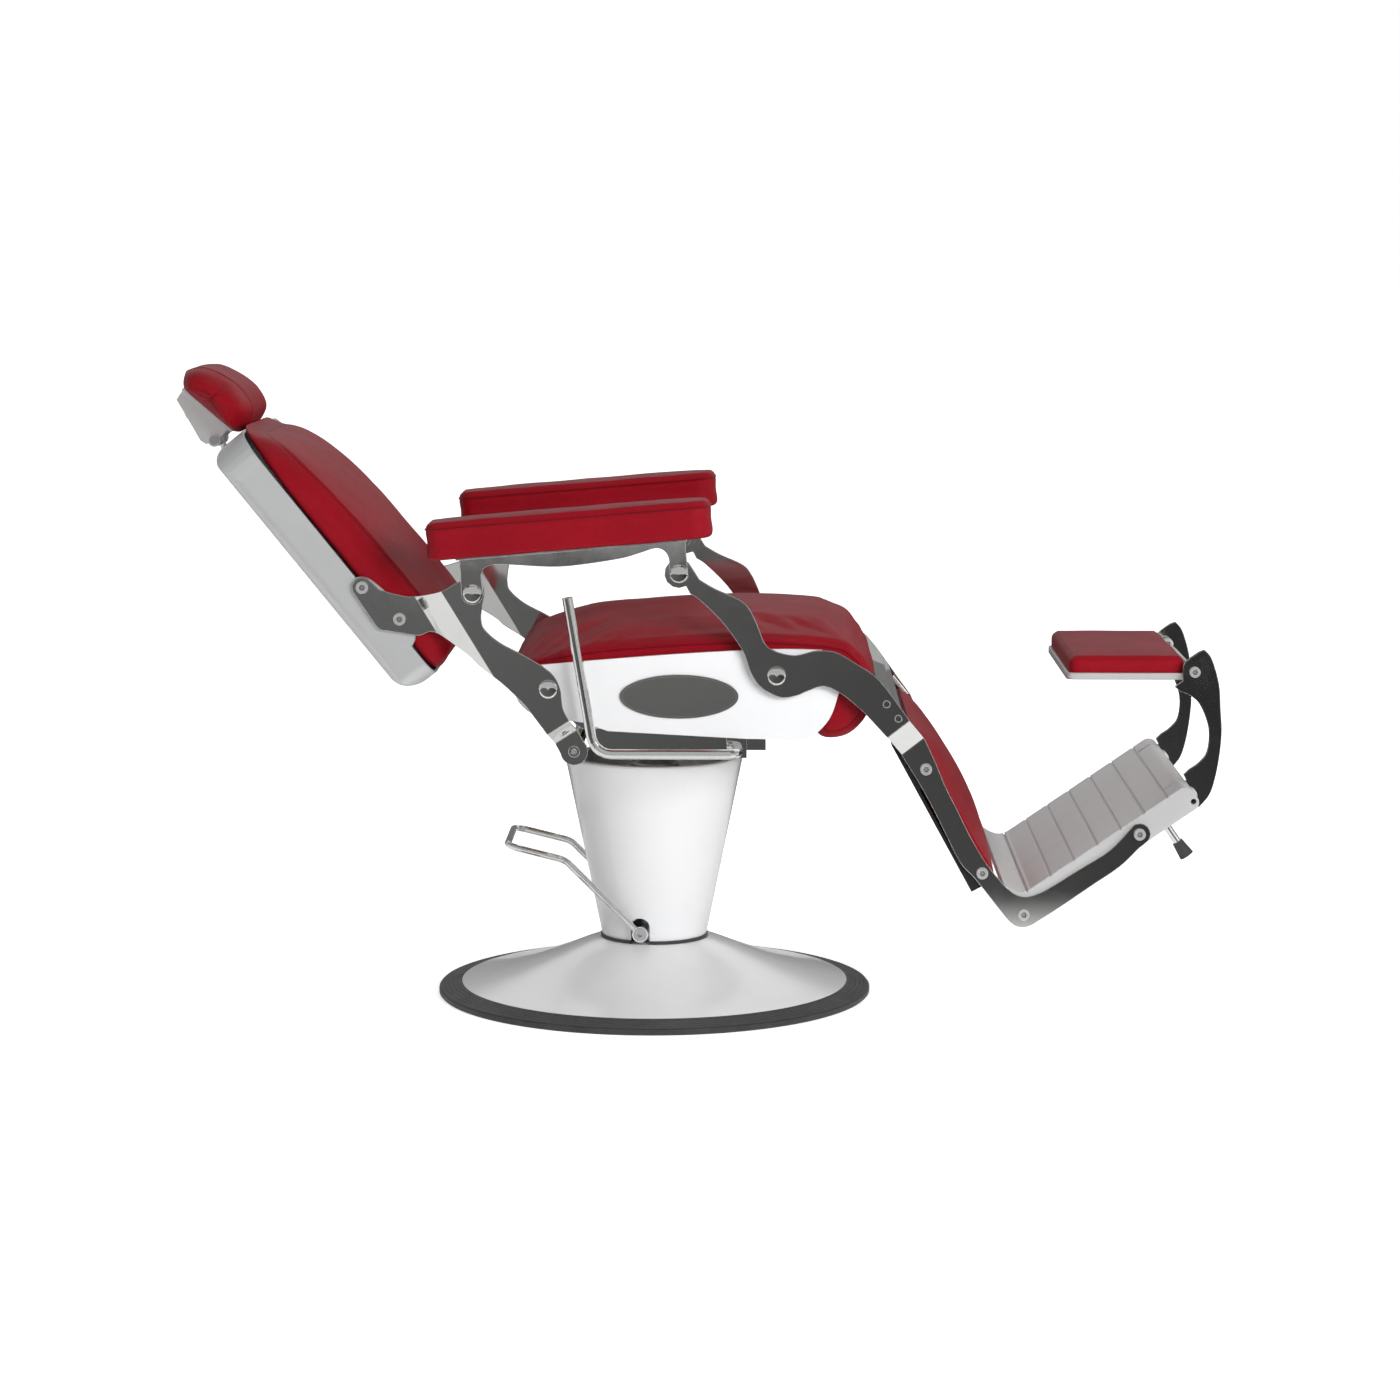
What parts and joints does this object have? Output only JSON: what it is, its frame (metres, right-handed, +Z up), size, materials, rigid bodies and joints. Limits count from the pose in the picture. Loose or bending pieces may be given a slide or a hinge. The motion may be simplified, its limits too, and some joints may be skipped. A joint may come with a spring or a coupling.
{
  "type": "hydraulic barber chair",
  "caption": "Reclining hydraulic barber chair: padded seat, back and headrest, linked armrests and leg rest on bent plates, flip-up foot cushion, lift column with pedal and round base.",
  "frame": {"origin": "centre of the base's underside, on the column's axis, at floor level", "axes": "+X forwards, towards the footrest; +Y to the sitter's left; +Z up along the column"},
  "size_m": [1.5526, 0.69, 0.9596],
  "materials": {
    "red_leather": "grained upholstery leather, satin",
    "polished_chrome": "mirror-polished chrome plate",
    "zinc_steel": "zinc-plated mild steel",
    "white_enamel": "white gloss enamel on pressed steel",
    "grey_enamel": "pale grey satin enamel on pressed steel",
    "black_rubber": "black moulded rubber",
    "black_paint": "black gloss paint on steel",
    "cast_aluminium": "cast aluminium, vibratory finished",
    "brushed_nickel": "brushed nickel-plated steel",
    "plywood": "birch plywood"
  },
  "bodies": {
    "base": {"base_ring": "black_rubber", "base_dish": "white_enamel", "ballast_plate": "zinc_steel", "column_gasket": "black_rubber", "column_cover": "white_enamel", "pump_body": "zinc_steel"},
    "pedal": {"pump_pedal": "polished_chrome", "pedal_axle": "zinc_steel"},
    "ram": {"pump_ram": "polished_chrome", "swivel_bearing": "zinc_steel"},
    "seat": {"swivel_hub": "zinc_steel", "hub_screws": "zinc_steel", "seat_frame": "zinc_steel", "seat_shell": "white_enamel", "seat_board": "plywood", "seat_cushion": "red_leather", "oval_plates": "brushed_nickel", "seat_pivot_pins": "polished_chrome", "lever_bracket": "polished_chrome", "gas_spring_pin": "zinc_steel"},
    "lever": {"recline_lever": "polished_chrome"},
    "back": {"rear_link_right": "polished_chrome", "rear_link_left": "polished_chrome", "cross_shaft": "polished_chrome", "back_shell": "grey_enamel", "back_cushion": "red_leather", "back_bolts": "polished_chrome", "headrest_guide": "zinc_steel", "guide_knob": "black_rubber", "rear_arm_pins": "polished_chrome"},
    "head_post": {"headrest_stem": "polished_chrome"},
    "headrest": {"headrest_bracket": "cast_aluminium", "headrest_axle": "zinc_steel", "headrest_cushion": "red_leather"},
    "leg": {"leg_link_right": "polished_chrome", "leg_link_left": "polished_chrome", "leg_crossbars": "polished_chrome", "leg_bolts": "polished_chrome", "calf_tray": "zinc_steel", "calf_cushion": "red_leather", "footrest_tread": "cast_aluminium", "support_posts": "polished_chrome", "post_ferrules": "black_rubber", "crescent_pins": "zinc_steel", "front_arm_pins": "polished_chrome"},
    "foot_arms": {"crescent_arms": "polished_chrome", "foot_pivot_bolts": "polished_chrome"},
    "foot_rest": {"foot_tray": "cast_aluminium", "foot_cushion": "red_leather"},
    "arm_right": {"arm_bracket_right": "polished_chrome", "arm_pad_right": "red_leather"},
    "arm_left": {"arm_bracket_left": "polished_chrome", "arm_pad_left": "red_leather"},
    "spring_rod": {"gas_spring_rod": "polished_chrome"},
    "spring_cylinder": {"gas_spring_cylinder": "black_paint"}
  },
  "joints": [
    {"name": "pedal_swing", "type": "hinge", "parent": "base", "child": "pedal", "pos_m": [-0.019, 0, 0.103], "axis": [0, -1, 0], "range_deg": [0, 22], "stiffness_Nm_per_rad": 8, "springref_deg": -28.65},
    {"name": "ram_lift", "type": "slide", "parent": "base", "child": "ram", "axis": [0, 0, 1], "range_m": [0, 0.16]},
    {"name": "seat_swivel", "type": "hinge", "parent": "ram", "child": "seat", "pos_m": [0, 0, 0.38], "axis": [0, 0, 1], "continuous": true},
    {"name": "lever_pull", "type": "hinge", "parent": "seat", "child": "lever", "pos_m": [0.128, 0, 0.408], "axis": [0, 1, 0], "range_deg": [0, 8], "stiffness_Nm_per_rad": 10, "springref_deg": -17.19},
    {"name": "back_recline", "type": "hinge", "parent": "seat", "child": "back", "pos_m": [-0.145, 0, 0.5], "axis": [0, 1, 0], "range_deg": [0, 29]},
    {"name": "leg_swing", "type": "hinge", "parent": "seat", "child": "leg", "pos_m": [0.185, 0, 0.52], "axis": [0, 1, 0], "range_deg": [-0.2, 26.4]},
    {"name": "arm_right_turn", "type": "hinge", "parent": "back", "child": "arm_right", "pos_m": [-0.253, 0, 0.639], "axis": [0, 1, 0], "range_deg": [-31.5, 0.2]},
    {"name": "arm_left_turn", "type": "hinge", "parent": "back", "child": "arm_left", "pos_m": [-0.253, 0, 0.639], "axis": [0, 1, 0], "range_deg": [-31.5, 0.2]},
    {"name": "spring_rod_turn", "type": "hinge", "parent": "seat", "child": "spring_rod", "pos_m": [0.15, 0, 0.412], "axis": [0, 1, 0], "range_deg": [-1.5, 0.1]},
    {"name": "spring_extend", "type": "slide", "parent": "spring_rod", "child": "spring_cylinder", "axis": [-0.9997, 0, -0.0232], "range_m": [-0.0005, 0.051]},
    {"name": "head_height", "type": "slide", "parent": "back", "child": "head_post", "axis": [-0.6266, 0, 0.7793], "range_m": [0, 0.08]},
    {"name": "head_tilt", "type": "hinge", "parent": "head_post", "child": "headrest", "pos_m": [-0.65806, 0, 0.84487], "axis": [0, 1, 0], "range_deg": [-25, 0]},
    {"name": "foot_arm_fold", "type": "hinge", "parent": "leg", "child": "foot_arms", "pos_m": [0.79169, 0, 0.33369], "axis": [0, 1, 0], "range_deg": [-55, 20]},
    {"name": "foot_rest_tilt", "type": "hinge", "parent": "foot_arms", "child": "foot_rest", "pos_m": [0.79769, 0, 0.51569], "axis": [0, 1, 0], "range_deg": [-8, 60]}
  ],
  "couplings": [
    {"joint": "leg_swing", "follows": "back_recline", "ratio": 0.90436},
    {"joint": "arm_right_turn", "follows": "back_recline", "ratio": -1.0785},
    {"joint": "arm_left_turn", "follows": "back_recline", "ratio": -1.0785},
    {"joint": "spring_rod_turn", "follows": "back_recline", "ratio": -0.04399},
    {"joint": "spring_extend", "follows": "back_recline", "m_per_rad": 0.09879}
  ]
}
